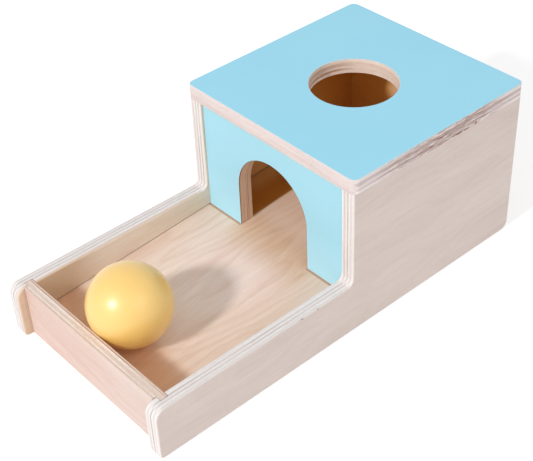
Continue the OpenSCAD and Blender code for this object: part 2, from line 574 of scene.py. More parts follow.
    def _edge(self, board: BoardNodes) -> Socket:
        """Colours a cut edge, whose plies show stronger in some places than in others.

        Args:
            board: Nodes of the material.

        Returns:
            The colour of the edge.
        """
        depth = board.add("Math", {0: board.depth, 1: board.spots(PLY_WAVES)}, operation="ADD")
        share = board.add("Math", {0: depth, 1: MM / self.sheet.thick}, operation="MULTIPLY")
        across, along = (
            self._bands(board, share, tones)
            for tones in (self.sheet.plies.across, self.sheet.plies.along))
        end_grain = board.add("Math", {0: board.facing_along}, operation="ABSOLUTE")
        end_grain = board.add("MapRange", {0: end_grain, **IS_END_GRAIN}, **SMOOTHLY)
        edge = board.add("Mix", {0: end_grain, 6: across, 7: along}, **COLOURS)
        plain = blend(self.pale_ply, self.dark_ply, self.plain_edge)
        edge = board.add("Mix", {0: board.spots(PLY_PATCHES), 6: plain, 7: edge}, **COLOURS)
        fibres = board.spots(EDGE_FIBRES)
        edge = board.add("Mix", {0: fibres, 6: edge, 7: linear(self.dark_ply)}, **COLOURS)
        if self.stain_mm:
            edge = self._stained(board, edge)
        return self._rimmed(board, edge) if self.rim else edge

    def _rimmed(self, board: BoardNodes, edge: Socket) -> Socket:
        """Shows the warmer face ply on a cut edge.

        Args:
            board: Nodes of the material.
            edge: Colour of the edge without it.

        Returns:
            The colour of the edge.
        """
        full, gone = self.rim.depth_mm
        top = self.sheet.thick / MM
        share = board.add("MapRange", {0: board.depth, 1: top - gone, 2: top - full})
        end = self.rim.end_mm + self.seed
        before = board.add("MapRange", {0: board.along, 1: end, 2: end - self.rim.fade_mm})
        share = board.add("Math", {0: share, 1: before}, operation="MULTIPLY")
        return board.add("Mix", {0: share, 6: edge, 7: linear(self.rim.colour)}, **COLOURS)

    def _stained(self, board: BoardNodes, edge: Socket) -> Socket:
        """Darkens streaks of a cut edge, along one part of the board.

        Args:
            board: Nodes of the material.
            edge: Colour of the clean edge.

        Returns:
            The colour of the edge with its stains.
        """
        middle, reach = self.stain_mm
        away = board.add("Math", {0: board.along, 1: -self.seed - middle}, operation="ADD")
        away = board.add("Math", {0: away}, operation="ABSOLUTE")
        near = board.add("MapRange", {0: away, 1: reach, 2: reach / 2}, **SMOOTHLY)
        share = board.add("Math", {0: near, 1: board.spots(STAIN_STREAKS)}, operation="MULTIPLY")
        return board.add("Mix", {0: share, 6: edge, 7: linear(self.stain)}, **COLOURS)

    def _painted(self, board: BoardNodes, wood: Socket) -> tuple[Socket, Socket]:
        """Lays the paint on the front face, which the sanded edges cut off cleanly.

        Args:
            board: Nodes of the material.
            wood: Colour of the bare wood.

        Returns:
            The colour and the roughness of the painted board.
        """
        paint = self.paint
        if paint.arris:
            slant = board.add("MapRange", {0: board.facing_out, **IS_ARRIS})
            wood = board.add("Mix", {0: slant, 6: wood, 7: linear(paint.arris)}, **COLOURS)
        level = board.add("Math", {0: board.facing_out, 1: board.spots(RIM_FRAY)}, operation="ADD")
        cover = board.add("MapRange", {0: level, **IS_COATED})
        grain, clouds = board.spots(PAINTED_GRAIN), board.spots(ROLLER_CLOUDS)
        tint = board.add("Mix", {0: paint.cloud_share, 2: grain, 3: clouds})
        tint = board.add("MapRange", {0: tint, 1: SPREAD[0], 2: SPREAD[1]})
        coat = board.add(
            "Mix", {0: tint, 6: linear(paint.colour), 7: linear(paint.shade)}, **COLOURS)
        # Painted light: the coat pales towards the foot, against the shade by the ramp
        if paint.foot:
            full, gone = (height + 2 * self.seed for height in paint.foot_mm)
            thin = board.add("MapRange", {0: board.across, 1: gone, 2: full})
            coat = board.add("Mix", {0: thin, 6: coat, 7: linear(paint.foot)}, **COLOURS)
        colour = board.add("Mix", {0: cover, 6: wood, 7: coat}, **COLOURS)
        rough = board.add("Mix", {0: cover, 2: self.roughness, 3: paint.roughness})
        return colour, rough


@dataclass(frozen=True)
class BareWood:
    """Wood that was never sanded: torn out of a ply, or the inside of a routed groove."""

    name: str = "torn_ply"
    colour: str = "B98B7B"
    shade: str = "84594A"
    fibre: float = 0.5 * MM
    roughness: float = 0.9

    def material(self) -> bpy.types.Material:
        """Builds the material.

        Returns:
            The material.
        """
        material = bpy.data.materials.new(self.name)
        nodes = Nodes(fresh_tree(material))
        colour = nodes.clouds(self.colour, self.shade, self.fibre, detail=3.0)
        shader = nodes.add(
            "BsdfPrincipled", {"Base Color": colour, "Roughness": self.roughness})
        nodes.add("OutputMaterial", {0: shader})
        return material


@dataclass(frozen=True)
class Lacquer:
    """Yellow lacquer, dipped and gloss: deep even colour under a clear smooth skin."""

    name: str = "yellow_lacquer"
    colour: str = "F8CC6E"
    shade: str = "F6C868"
    cloud: float = 14 * MM
    # Width and height of the faint swelling of dipped paint over turned wood
    swelling: float = 3 * MM
    swelling_h: float = 0.02 * MM
    roughness: float = 0.55
    coat_roughness: float = 0.31
    ior: float = 1.8

    def material(self) -> bpy.types.Material:
        """Builds the lacquer.

        Returns:
            The material.
        """
        material = bpy.data.materials.new(self.name)
        nodes = Nodes(fresh_tree(material))
        place = nodes.add("TexCoord", out="Object")
        swell = nodes.add(
            "TexNoise", {"Vector": place, "Scale": 1 / self.swelling, "Detail": 1.0})
        bump = nodes.add(
            "Bump", {"Height": swell, "Distance": self.swelling_h, "Strength": 1.0})
        shader = nodes.add(
            "BsdfPrincipled",
            {"Base Color": nodes.clouds(self.colour, self.shade, self.cloud, detail=2.0),
             "Roughness": self.roughness, "Normal": bump, "Coat Weight": 1.0,
             "Coat Roughness": self.coat_roughness, "IOR": self.ior})
        nodes.add("OutputMaterial", {0: shader})
        return material


@dataclass(frozen=True)
class Corner:
    """Corner of a board's outline: its place across and up, and its rounding."""

    across: float
    up: float
    radius: float = 0.0
    steps: int = CORNER_STEPS


def round_off(
    bm: bmesh.types.BMesh, parts: Sequence[bmesh.types.BMVert | bmesh.types.BMEdge],
    radius: float, steps: int = EASE_STEPS, affect: str = "EDGES",
) -> None:
    """Rounds edges, or the corners of an outline.

    Args:
        bm: The mesh.
        parts: Its edges or corners that are rounded.
        radius: Rounding.
        steps: Number of faces, or of edges in an outline, that make the round.
        affect: EDGES, or VERTICES for corners.
    """
    bmesh.ops.bevel(
        bm, geom=parts, offset=radius, segments=steps, profile=0.5, affect=affect,
        clamp_overlap=True, material=-1)


def cut_plate(corners: Sequence[Corner], thick: float) -> bmesh.types.BMesh:
    """Saws a flat plate with rounded corners.

    Args:
        corners: The outline, in order, across along X and up along Y.
        thick: Thickness of the plate, along Z from zero.

    Returns:
        The plate as a closed mesh.
    """
    bm = bmesh.new()
    spots = [bm.verts.new((c.across, c.up, 0.0)) for c in corners]
    bm.faces.new(spots)
    for corner, spot in zip(corners, spots):
        if corner.radius > 0:
            round_off(bm, [spot], corner.radius, corner.steps, "VERTICES")
    bmesh.ops.remove_doubles(bm, verts=bm.verts[:], dist=WELD)
    grown = bmesh.ops.extrude_face_region(bm, geom=bm.faces[:], use_keep_orig=True)
    lifted = [part for part in grown["geom"] if isinstance(part, bmesh.types.BMVert)]
    bmesh.ops.translate(bm, vec=(0.0, 0.0, thick), verts=lifted)
    bmesh.ops.recalc_face_normals(bm, faces=bm.faces[:])
    return bm


def ease_rims(
    bm: bmesh.types.BMesh, thick: float, radius: float, wanted: Callable[[Vector], bool],
) -> None:
    """Sands the edges round both faces of a plate that still lies flat.

    Args:
        bm: The plate, between zero and its thickness along Z.
        thick: Thickness of the plate.
        radius: Rounding of the edges.
        wanted: Says for the middle of an edge whether it is sanded.
    """
    rims = []
    for edge in bm.edges:
        low, high = sorted(v.co.z for v in edge.verts)
        on_face = high - low < LEVEL and (abs(low) < LEVEL or abs(low - thick) < LEVEL)
        if not on_face or not edge.is_manifold or edge.calc_face_angle() < RIM_ANGLE:
            continue
        if wanted((edge.verts[0].co + edge.verts[1].co) / 2):
            rims.append(edge)
    round_off(bm, rims, radius)


def block(low: Sequence[float], high: Sequence[float], name: str) -> bpy.types.Object:
    """Makes a box-shaped cutter.

    Args:
        low: Its lowest corner.
        high: Its highest corner.
        name: Name of the cutter.

    Returns:
        The cutter's object.
    """
    bm = bmesh.new()
    middle = (Vector(low) + Vector(high)) / 2
    size = Vector(high) - Vector(low)
    place = Matrix.Translation(middle) @ Matrix.Diagonal((*size, 1.0))
    bmesh.ops.create_cube(bm, size=1.0, matrix=place)
    return to_object(bm, name)


def to_object(bm: bmesh.types.BMesh, name: str) -> bpy.types.Object:
    """Turns a finished mesh into an object at the origin.

    Args:
        bm: The mesh, which is freed.
        name: Name of the object.

    Returns:
        The object, linked to the scene.
    """
    mesh = bpy.data.meshes.new(name)
    bm.to_mesh(mesh)
    bm.free()
    piece = bpy.data.objects.new(name, mesh)
    bpy.context.scene.collection.objects.link(piece)
    return piece


def rout(board: bpy.types.Object, cutters: Sequence[bpy.types.Object]) -> None:
    """Takes cutters out of a board, one after another, and clears them away.

    Args:
        board: The board, whose mesh is replaced.
        cutters: Objects of closed meshes; where one has a material, the cut shows it.
    """
    for cutter in cutters:
        pass_ = board.modifiers.new(cutter.name, "BOOLEAN")
        pass_.operation = "DIFFERENCE"
        pass_.solver = "EXACT"
        pass_.material_mode = "TRANSFER"
        pass_.object = cutter
    graph = bpy.context.evaluated_depsgraph_get()
    mesh = bpy.data.meshes.new_from_object(board.evaluated_get(graph))
    board.modifiers.clear()
    board.data = mesh
    for cutter in cutters:
        bpy.data.objects.remove(cutter)


@dataclass(frozen=True)
class PlyVoid:
    """Place on an edge where a ply has torn out: middle, reach each way, and slant."""

    middle_mm: tuple[float, float, float]
    reach_mm: tuple[float, float, float]
    slant_deg: float = 0.0
    # How far its outline frays, and how wide a frayed tuft is
    rag_mm: float = 0.12
    tuft_mm: float = 0.8

    def cutter(self, name: str, finish: bpy.types.Material) -> bpy.types.Object:
        """Makes the ragged lens that tears the void out.

        Args:
            name: Name of the cutter.
            finish: Material of the torn surface.

        Returns:
            The cutter's object.
        """
        bm = bmesh.new()
        bmesh.ops.create_icosphere(bm, subdivisions=3, radius=1.0)
        bmesh.ops.scale(bm, vec=Vector(self.reach_mm) * MM, verts=bm.verts[:])
        slant = Matrix.Rotation(math.radians(self.slant_deg), 3, "Y")
        bmesh.ops.rotate(bm, matrix=slant, verts=bm.verts[:])
        bmesh.ops.translate(bm, vec=Vector(self.middle_mm) * MM, verts=bm.verts[:])
        noise.seed_set(VOID_SEED)
        for vert in bm.verts:
            vert.co += noise.noise_vector(vert.co / (self.tuft_mm * MM)) * self.rag_mm * MM
        piece = to_object(bm, name)
        piece.data.materials.append(finish)
        return piece


@dataclass
class Piece:
    """One piece of the toy: its CAD node, its body and its finish."""

    node: str
    slot: str
    body: str = "box"
    # Lowest and highest corner of the CAD node
    low: Vector = field(init=False)
    high: Vector = field(init=False)

    def __post_init__(self) -> None:
        """Reads the piece's box from the frame."""
        self.low, self.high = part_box(self.node)

    def shape(self) -> bpy.types.Object:
        """Makes the piece's mesh in place."""
        raise NotImplementedError

    def finish(self) -> bpy.types.Material:
        """Makes the piece's material."""
        raise NotImplementedError

    def build(self) -> bpy.types.Object:
        """Makes the piece, dresses it and puts it in its CAD node's place.

        Returns:
            The finished object.
        """
        piece = self.shape()
        piece.name = f"{self.node}_finished"
        material = self.finish()
        if piece.data.materials:
            piece.data.materials[0] = material
        else:
            piece.data.materials.append(material)
        piece.data.shade_smooth()
        piece.data.set_sharp_from_angle(angle=SHARP_ANGLE)
        normals = piece.modifiers.new("flat_faces", "WEIGHTED_NORMAL")
        normals.keep_sharp = True
        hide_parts(self.node)
        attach(piece, self.body)
        log.info("%s: %d faces", piece.name, len(piece.data.polygons))
        return piece


@dataclass
class Ramp(Piece):
    """Sloping board that is the floor of the tray and of the box."""

    node: str = "ramp"
    slot: str = "ramp_plywood"
    tilt_deg: float = 4.0
    seed: float = 31.0

    @property
    def tilt(self) -> float:
        """Slope in radians."""
        return math.radians(self.tilt_deg)

    @property
    def low_top(self) -> float:
        """Height of the rolling surface at its low end."""
        return self.high.z - (self.high.x - self.low.x) * math.tan(self.tilt)

    @property
    def drop(self) -> float:
        """Upright thickness of the board."""
        return self.low_top - self.low.z

    def top_at(self, x: float) -> float:
        """Returns the height of the rolling surface at a place along X."""
        return self.low_top + (x - self.low.x) * math.tan(self.tilt)

    def slab(
        self, start: float, end: float, below: float, above: float, wide: float,
    ) -> bmesh.types.BMesh:
        """Makes a slab that follows the slope.

        Args:
            start: Where it starts along X.
            end: Where it ends along X.
            below: How far it reaches below the rolling surface.
            above: How far it reaches above that surface.
            wide: Width across the toy, about the middle.

        Returns:
            The slab's mesh, in place.
        """
        section = [
            Corner(start, self.top_at(start) - below),
            Corner(end, self.top_at(end) - below),
            Corner(end, self.top_at(end) + above),
            Corner(start, self.top_at(start) + above),
        ]
        bm = cut_plate(section, wide)
        bmesh.ops.transform(bm, matrix=stand_along_x(wide / 2), verts=bm.verts[:])
        return bm

    def shape(self) -> bpy.types.Object:
        """Saws the ramp."""
        bm = self.slab(self.low.x, self.high.x, self.drop, 0.0, self.high.y - self.low.y)
        return to_object(bm, self.node)

    def finish(self) -> bpy.types.Material:
        """Dresses it in warm veneer with the broad cathedral figure of flat-cut birch.

        Returns:
            The material.
        """
        up = Vector((-math.sin(self.tilt), 0.0, math.cos(self.tilt)))
        slope = Vector((math.cos(self.tilt), 0.0, math.sin(self.tilt)))
        top = self.low_top * math.cos(self.tilt) - self.low.x * math.sin(self.tilt)
        thick = self.drop * math.cos(self.tilt)
        # The front face's own veneer, tan at the stop as painted shade of the stop's shadow, and
        # those that follow it up the slope
        stop_shade = Veneer("F3C7A4", "E0AA82")
        ground = Veneer("F4E2D5", "DCBDA7")
        heart = Veneer("FBE9E0", "E0BDA8")
        door = Veneer("F2DAC2", "D3A981")
        deep = Veneer("FBE6D2", "EFCDB0")
        start = self.low.x / MM
        door_x, door_end = (corner.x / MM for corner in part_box("arch_panel"))
        zones = (
            Zone(ground, start + 18, 16.0), Zone(heart, start + 50, 45.0, aside_mm=(44.0, 14.0)),
            Zone(door, door_x - 22, 26.0, aside_mm=(52.0, 20.0)), Zone(deep, door_x + 8, 14.0),
            Zone(SEAT_VENEER, door_x, end_mm=door_end, aside_mm=(27.4, 27.6), wave_mm=0.0),
            # Painted shadow of the arch panel on the ramp inside the box, then paler painted shade
            # beside the walls
            Zone(SHADE_VENEER, door_end, 1.0, aside_mm=(28.0, 29.2), wave_mm=0.0),
            Zone(NEAR_VENEER, door_end, 6.0, aside_mm=(38.0, 56.0), wave_mm=0.0))
        sheet = Sheet(slope, up, top - thick, thick, THIN_PLIES)
        flat_cut = Figure(0.7, 0.22, 8.0, (24.0, 1.8), 5.0)
        return Plywood(
            "ramp_birch", sheet, stop_shade, deep, self.seed, figure=flat_cut, zones=zones).material()


def stand_along_x(y: float) -> Matrix:
    """Stands a plate up: across along X, up along Z, its thickness from Y towards -Y."""
    return Matrix.Translation((0.0, y, 0.0)) @ Matrix.Rotation(math.radians(90), 4, "X")


def stand_across(x: float) -> Matrix:
    """Stands a plate up: across along Y, up along Z, its thickness from X on."""
    return Matrix(((0, 0, 1, x), (1, 0, 0, 0), (0, 1, 0, 0), (0, 0, 0, 1)))


def grow_tongues(bm: bmesh.types.BMesh, start: float, end: float) -> None:
    """Leaves a tongue standing on both ends of a cross board.

    Args:
        bm: The board, in place, with flat ends.
        start: Where its tongues start along X.
        end: Where they end along X.
    """
    for x in (start, end):
        bmesh.ops.bisect_plane(
            bm, geom=bm.verts[:] + bm.edges[:] + bm.faces[:], plane_co=(x, 0.0, 0.0),
            plane_no=(1.0, 0.0, 0.0), dist=WELD)
    for sign in (1, -1):
        ends = [
            f for f in bm.faces
            if f.normal.y * sign > SQUARE and start < f.calc_center_median().x < end
        ]
        far = max(f.calc_center_median().y * sign for f in ends)
        ends = [f for f in ends if f.calc_center_median().y * sign > far - MARGIN]
        grown = bmesh.ops.extrude_face_region(bm, geom=ends)
        moved = [part for part in grown["geom"] if isinstance(part, bmesh.types.BMVert)]
        bmesh.ops.translate(bm, vec=(0.0, sign * TONGUE_L, 0.0), verts=moved)


# Outer faces are pale and cool. Faces inside the tray are paler and warmer, painted warm bounce
# light, and tan near the stop, painted shade of the stop's shadow
OUTER_VENEER = Veneer("EBDDD6", "D3C2B8")
TRAY_VENEER = Veneer("FFF5EA", "E4C8AA")
TAN_SHADOW_VENEER = Veneer("E9D0B6", "DBBDA0")
# Painted shade in the corner beside the stop's front face; wood where a board stands on another;
# and a paler stretch of the tray walls near the box
STOP_SHADOW_VENEER = Veneer("E2C6AE", "D4B396")
SEAT_VENEER = Veneer("D0A88C", "BE9274")
MOSS_VENEER = Veneer("F4E6D4", "D6C0A2")
# Inside the box: deep orange wood, painted warm shade, paler by the walls and near the doorway,
# and a darker painted shadow on the ramp where the arch panel shades it
CHAMBER_SHADED_VENEER = Veneer("EAB05A", "DEA048")
NEAR_VENEER = Veneer("F3CC8C", "E5BA76")
SHADE_VENEER = Veneer("D79B45", "CB8D36")
# Where light from the doorway falls on the back
LIT_VENEER = Veneer("F2C8A2", "E6B88E")
# The stop is pinker, and greyer towards its right end
STOP_VENEER = Veneer("E3CFC6", "CDA899")
STOP_END_VENEER = Veneer("E3D5CE", "CEAFA3")
# Seven plies of a board of 9 mm, five of the roof's and of a thin board's
SIDE_PLIES = Plies(
    (1.7, 2.8, 3.9, 5.0, 6.1, 7.4, 9.0), (0.15, 0.6, 0.0, 1.0, 0.05, 0.8, 0.0),
    (0.35, 0.0, 0.75, 0.1, 0.75, 0.0, 0.2))
ROOF_PLIES = Plies(
    (1.9, 3.4, 4.6, 6.8, 9.0), (0.62, 0.68, 0.66, 0.5, 0.46), (0.0, 0.9, 0.15, 0.95, 0.15))
HOLE_PLIES = Plies(
    (1.9, 3.4, 4.6, 6.8, 9.0), (0.1, 0.24, 0.14, 0.25, 0.02), (0.05, 0.9, 0.1, 0.85, 0.05))
ARCH_PLIES = Plies(
    (2.85, 4.2, 6.15, 8.25, 9.0), (0.3, 0.55, 0.0, 0.35, 0.7), (0.3, 0.5, 0.1, 0.4, 0.6))
STOP_PLIES = Plies(
    (0.9, 1.5, 3.1, 4.5, 5.7, 6.6, 7.0), (0.1, 0.4, 0.1, 0.5, 0.1, 0.4, 0.1),
    (0.32, 1.0, 0.0, 0.27, 0.0, 0.5, 0.45))
THIN_PLIES = Plies(
    (1.0, 2.0, 3.0, 4.0, 5.0), (0.0, 0.7, 0.1, 0.8, 0.0), (0.6, 0.0, 0.8, 0.1, 0.5))
# Inside of a groove, which shows as a thin brown line round whatever stands in it
GROOVE_WOOD = BareWood("groove_wood", "B28F7C", "92705C")
DARK_GROOVE_WOOD = BareWood("dark_groove_wood", "8A6248", "64412B")
DARK_WOOD = BareWood("chamber_seam_wood", "5C3A20", "3E2410")
# Small nicks in the right wall's outer top edge
WALL_NICKS = (
    PlyVoid((-35.8, -64.35, 31.75), (0.8, 0.24, 0.4)),
    PlyVoid((-38.0, -64.35, 31.8), (1.3, 0.08, 0.16), rag_mm=0.08),
    PlyVoid((-24.8, -64.4, 31.65), (0.5, 0.22, 0.3)),
)


@dataclass
class SidePanel(Piece):
    """Side of the toy: a low tray wall that steps up to the wall of the box."""

    node: str = "left_side"
    slot: str = "side_plywood"
    side: Side = Side.LEFT
    tray_corner_r: float = 6 * MM
    step_corner_r: float = 4 * MM
    front_foot_r: float = 2 * MM
    back_foot_r: float = 5 * MM
    nicks: tuple[PlyVoid, ...] = ()
    # Seed of the figure half way between the two sides, and how far each is from it
    seed: float = 53.0
    seed_step: float = 17.0

    @property
    def thick(self) -> float:
        """Thickness of the plywood."""
        return self.high.y - self.low.y

    @property
    def inner(self) -> float:
        """Distance from the middle of the toy to the inner face."""
        return min(abs(self.low.y), abs(self.high.y))

    def shape(self) -> bpy.types.Object:
        """Saws the outline, sands its edges and routs the grooves.

        Returns:
            The panel.
        """
        tray_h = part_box("front_stop")[1].z
        box_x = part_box("roof")[0].x + ROOF_OVERHANG
        outline = [
            Corner(self.low.x, self.low.z, self.front_foot_r),
            Corner(self.high.x, self.low.z, self.back_foot_r),
            Corner(self.high.x, self.high.z),
            Corner(box_x, self.high.z),
            Corner(box_x, tray_h, self.step_corner_r),
            Corner(self.low.x, tray_h, self.tray_corner_r),
        ]
        bm = cut_plate(outline, self.thick)
        ease_rims(bm, self.thick, EASE_R, lambda middle: middle.y < self.high.z - MARGIN)
        bmesh.ops.transform(bm, matrix=stand_along_x(self.high.y), verts=bm.verts[:])
        board = to_object(bm, self.node)
        board.data.materials.append(None)
        rout(board, self._grooves())
        torn = BareWood().material()
        rout(board, [n.cutter(f"nick_{i}", torn) for i, n in enumerate(self.nicks)])
        return board

    def _grooves(self) -> list[bpy.types.Object]:
        """Makes the cutters of the grooves, each as deep as a tongue and its end gap.

        Returns:
            Their objects, lined with the wood that the cuts show.
        """
        ramp = Ramp()
        reach = self.inner + TONGUE_L + GROOVE_END_GAP
        cutters = []
        for node in ("front_stop", "arch_panel", "back_panel"):
            low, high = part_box(node)
            start, end = tongue_zone(node)
            floor = ramp.top_at(low.x) - ramp.drop / 2 if node == "arch_panel" else low.z - OVERRUN
            cutters.append(block(
                (start - GROOVE_SIDE_GAP, -reach, floor),
                (end + GROOVE_SIDE_GAP, reach, high.z + OVERRUN), f"{node}_groove"))
        slot = ramp.slab(ramp.low.x - SEAM, ramp.high.x + SEAM, ramp.drop + SEAM, SEAM, 2 * reach)
        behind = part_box("arch_panel")[1].x
        wide_slot = ramp.slab(behind, ramp.high.x, 0.0, CHAMBER_SEAM, 2 * reach)
        lining = GROOVE_WOOD.material()
        for cutter in cutters:
            cutter.data.materials.append(lining)
        slots = (("ramp_groove", slot, DARK_GROOVE_WOOD), ("chamber_seam", wide_slot, DARK_WOOD))
        for name, bm, wood in slots:
            cutters.append(to_object(bm, name))
            cutters[-1].data.materials.append(wood.material())
        return cutters

    def finish(self) -> bpy.types.Material:
        """Dresses it in birch, pale outside and warmer inside, its grain along the toy.

        Returns:
            The material.
        """
        inward = Vector((0.0, -self.side.value, 0.0))
        sheet = Sheet(
            Vector((1.0, 0.0, 0.0)), inward, -self.inner - self.thick, self.thick, SIDE_PLIES)
        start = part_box("front_stop")[1].x / MM
        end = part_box("arch_panel")[0].x / MM
        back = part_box("back_panel")[0].x / MM
        stop_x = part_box("front_stop")[0].x / MM
        zones = (
            # Painted shade beside the stop's front face
            Zone(STOP_SHADOW_VENEER, stop_x - 1.7, 0.5, start - 1),
            Zone(TRAY_VENEER, start + 16, 30.0), Zone(MOSS_VENEER, end - 44, 40.0),
            # Inside the box: painted warm shade, paler near the doorway
            Zone(NEAR_VENEER, end), Zone(CHAMBER_SHADED_VENEER, end + 45, 20.0),
            Zone(TRAY_VENEER, back + 6))
        # The left wall's edges take the inner face's tan, partly its own ply and partly painted
        # warm shade
        rim = Rim("DCC0A8", (0.2, 2.0), end - 4) if self.side is Side.LEFT else None
        # The inner face is tan near the stop, painted shadow, and paler and warmer up the tray,
        # painted warm bounce light
        return Plywood(
            f"{self.node}_birch", sheet, TAN_SHADOW_VENEER, OUTER_VENEER,
            self.seed + self.seed_step * self.side.value, zones=zones, rim=rim,
            pale_ply="F6F1EF", dark_ply="C1B6B2", line_share=0.34).material()


def tongue_zone(node: str) -> tuple[float, float]:
    """Says where a cross board's tongues lie along X.

    Args:
        node: CAD node of the board.

    Returns:
        The start and the end of its tongues.
    """
    low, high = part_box(node)
    tongue = (high.x - low.x) * TONGUE_SHARE
    return (low.x, low.x + tongue) if node == "back_panel" else (high.x - tongue, high.x)


def width_between_sides() -> float:
    """Returns the width of a board that stands between the side panels."""
    return 2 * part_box("left_side")[0].y - 2 * GROOVE_SIDE_GAP


def sheet_across(board: Piece, plies: Plies) -> Sheet:
    """Says how a board across the toy lies in its sheet, facing the open end.

    Args:
        board: The board.
        plies: Its plies.

    Returns:
        The sheet.
    """
    return Sheet(
        Vector((0.0, -1.0, 0.0)), Vector((-1.0, 0.0, 0.0)), -board.high.x,
        board.high.x - board.low.x, plies)


@dataclass
class CrossBoard(Piece):
    """Board that stands across the toy between the sides, with eased long edges."""

    node: str = "front_stop"
    slot: str = "stop_plywood"
    seed: float = 7.0
    # Roundings of the top's front and back edges
    top_r: tuple[float, float] = (EASE_R, CRISP_R)
    # Whether it is the stop, which faces out of the toy, or the back, which faces into it
    is_stop: bool = True

    def shape(self) -> bpy.types.Object:
        """Saws the board to its rounded section and leaves its tongues.

        Returns:
            The board.
        """
        wide = width_between_sides()
        front_r, back_r = self.top_r
        section = [
            Corner(self.low.x, self.low.z, CRISP_R, EASE_STEPS),
            Corner(self.high.x, self.low.z, CRISP_R, EASE_STEPS),
            Corner(self.high.x, self.high.z, back_r, EASE_STEPS),
            Corner(self.low.x, self.high.z, front_r, EASE_STEPS),
        ]
        bm = cut_plate(section, wide)
        bmesh.ops.transform(bm, matrix=stand_along_x(wide / 2), verts=bm.verts[:])
        grow_tongues(bm, *tongue_zone(self.node))
        return to_object(bm, self.node)

    def finish(self) -> bpy.types.Material:
        """Dresses it in birch with its grain across the toy.

        Returns:
            The material.
        """
        name = f"{self.node}_birch"
        if self.is_stop:
            # The stop's back face takes the tan of painted shade
            return Plywood(
                name, sheet_across(self, STOP_PLIES), STOP_VENEER, TAN_SHADOW_VENEER, self.seed,
                zones=(Zone(STOP_END_VENEER, -10.0, 55.0),),
                pale_ply="FAEFE7", dark_ply="AC7A55", glue="98633F").material()
        # The back panel's front face inside the box is painted warm shade, paler where light falls
        return Plywood(
            name, sheet_across(self, SIDE_PLIES), CHAMBER_SHADED_VENEER, OUTER_VENEER, self.seed,
            zones=(Zone(LIT_VENEER, -28.0, 12.0),)).material()


@dataclass
class ArchPanel(Piece):
    """Painted front of the box with the round-headed doorway."""

    node: str = "arch_panel"
    slot: str = "arch_plywood"
    door_w: float = 55 * MM
    # Height of the wood above the doorway
    crown: float = 15.5 * MM
    # What the feet are sawn longer, before they are cut to the slope
    spare: float = 5 * MM
    seed: float = 19.0

    def shape(self) -> bpy.types.Object:
        """Saws the doorway, sands its edge, fits the panel to the ramp and the sides.

        Returns:
            The panel.
        """
        wide = width_between_sides()
        thick = self.high.x - self.low.x
        apex = self.high.z - self.crown
        foot = self.low.z - self.spare
        outline = [
            Corner(-wide / 2, foot),
            Corner(-self.door_w / 2, foot),
            Corner(-self.door_w / 2, apex, self.door_w / 2, ARCH_STEPS),
            Corner(self.door_w / 2, apex, self.door_w / 2, ARCH_STEPS),
            Corner(self.door_w / 2, foot),
            Corner(wide / 2, foot),
            Corner(wide / 2, self.high.z),
            Corner(-wide / 2, self.high.z),
        ]
        bm = cut_plate(outline, thick)
        ease_rims(bm, thick, ARRIS_R, lambda middle: self._is_doorway(middle, foot))
        bmesh.ops.transform(bm, matrix=stand_across(self.low.x), verts=bm.verts[:])
        self._seat_on_ramp(bm)
        bm.normal_update()
        grow_tongues(bm, *tongue_zone(self.node))
        return to_object(bm, self.node)

    def _is_doorway(self, middle: Vector, foot: float) -> bool:
        """Says whether the middle of an edge lies on the doorway's outline."""
        inside = abs(middle.x) < self.door_w / 2 + MARGIN
        return inside and foot + MARGIN < middle.y < self.high.z - self.crown + MARGIN

    def _seat_on_ramp(self, bm: bmesh.types.BMesh) -> None:
        """Cuts the panel's feet to the slope of the ramp, a seam above it.

        Args:
            bm: The panel, in place.
        """
        ramp = Ramp()
        slope = Vector((-math.sin(ramp.tilt), 0.0, math.cos(ramp.tilt)))
        spot = Vector((ramp.low.x, 0.0, ramp.low_top + FOOT_SEAM))
        bmesh.ops.bisect_plane(
            bm, geom=bm.verts[:] + bm.edges[:] + bm.faces[:], plane_co=spot, plane_no=slope,
            dist=WELD, clear_inner=True)
        rims = [e for e in bm.edges if e.is_boundary]
        bmesh.ops.holes_fill(bm, edges=rims, sides=0)
        bmesh.ops.recalc_face_normals(bm, faces=bm.faces[:])
        feet = [
            e for e in bm.edges
            if all(abs(v.co.x - self.low.x) < LEVEL
                   and abs((v.co - spot).dot(slope)) < LEVEL for v in e.verts)
        ]
        round_off(bm, feet, CRISP_R / 2)

    def finish(self) -> bpy.types.Material:
        """Paints the front face light blue and leaves the rest bare birch.

        Returns:
            The material.
        """
        # Its back face inside the box is painted warm shade
        return Plywood(
            f"{self.node}_birch", sheet_across(self, ARCH_PLIES), OUTER_VENEER,
            CHAMBER_SHADED_VENEER, self.seed,
            # The paler paint at the foot is painted light
            paint=Paint("A8DCED", "A4D9EB", arris="7C543C", foot="B6EBFE"),
            pale_ply="FAE2CC", dark_ply="CDA488", glue="75503C", line_mm=0.3,
            line_share=0.75).material()


